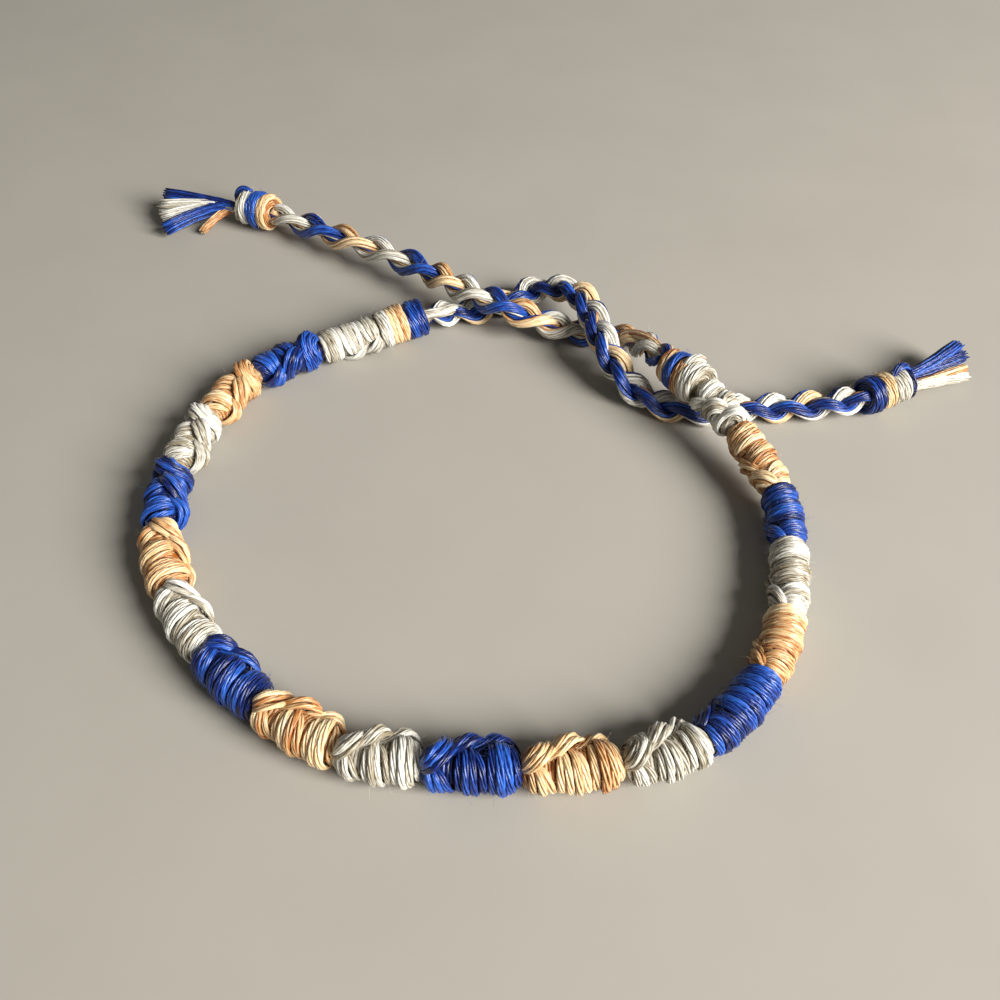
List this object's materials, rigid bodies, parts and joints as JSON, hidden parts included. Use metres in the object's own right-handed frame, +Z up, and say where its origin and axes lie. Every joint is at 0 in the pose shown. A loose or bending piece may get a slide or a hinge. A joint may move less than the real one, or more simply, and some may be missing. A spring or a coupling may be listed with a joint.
{
  "type": "friendship bracelet",
  "caption": "Knotted cotton cord bracelet in blue, peach and cream blocks, lying as an open loop with two braided ties that cross and end in knots and tassels.",
  "frame": {"origin": "on the surface it lies on, under the middle of the whole bracelet's outline, ties included", "axes": "+Z up from the surface, +X towards the end of tie A, +Y from the front of the loop towards the ties"},
  "size_m": [0.1034, 0.0918, 0.0078],
  "materials": {
    "blue_floss": "royal blue mercerised stranded cotton, silky",
    "peach_floss": "peach mercerised stranded cotton, silky",
    "cream_floss": "ecru mercerised stranded cotton, silky",
    "core_thread": "carried stranded cotton, in the shade under the hitches"
  },
  "bodies": {
    "root": {"band_core": "core_thread", "band_block_01_cream": "cream_floss", "band_block_02_blue": "blue_floss", "band_block_03_peach": "peach_floss", "band_block_04_cream": "cream_floss", "band_block_05_blue": "blue_floss", "band_block_06_peach": "peach_floss", "band_block_07_cream": "cream_floss", "band_block_08_blue": "blue_floss", "band_block_09_peach": "peach_floss", "band_block_10_cream": "cream_floss", "band_block_11_blue": "blue_floss", "band_block_12_peach": "peach_floss", "band_block_13_cream": "cream_floss", "band_block_14_blue": "blue_floss", "band_block_15_peach": "peach_floss", "band_block_16_cream": "cream_floss", "band_block_17_blue": "blue_floss", "band_block_18_peach": "peach_floss", "band_block_19_cream": "cream_floss", "start_knot_cream": "cream_floss", "start_knot_peach": "peach_floss", "start_knot_blue": "blue_floss", "finish_knot_cream": "cream_floss", "finish_knot_blue": "blue_floss", "finish_knot_peach": "peach_floss", "tie_a_strand_1": "blue_floss", "tie_a_strand_2": "peach_floss", "tie_a_strand_3": "cream_floss", "tie_a_knot_blue": "blue_floss", "tie_a_knot_peach": "peach_floss", "tie_a_knot_cream": "cream_floss", "tie_a_tassel": "blue_floss", "tie_b_strand_1": "blue_floss", "tie_b_strand_2": "peach_floss", "tie_b_strand_3": "cream_floss", "tie_b_knot_peach": "peach_floss", "tie_b_knot_blue": "blue_floss", "tie_b_knot_cream": "cream_floss", "tie_b_tassel": "blue_floss"}
  },
  "joints": []
}
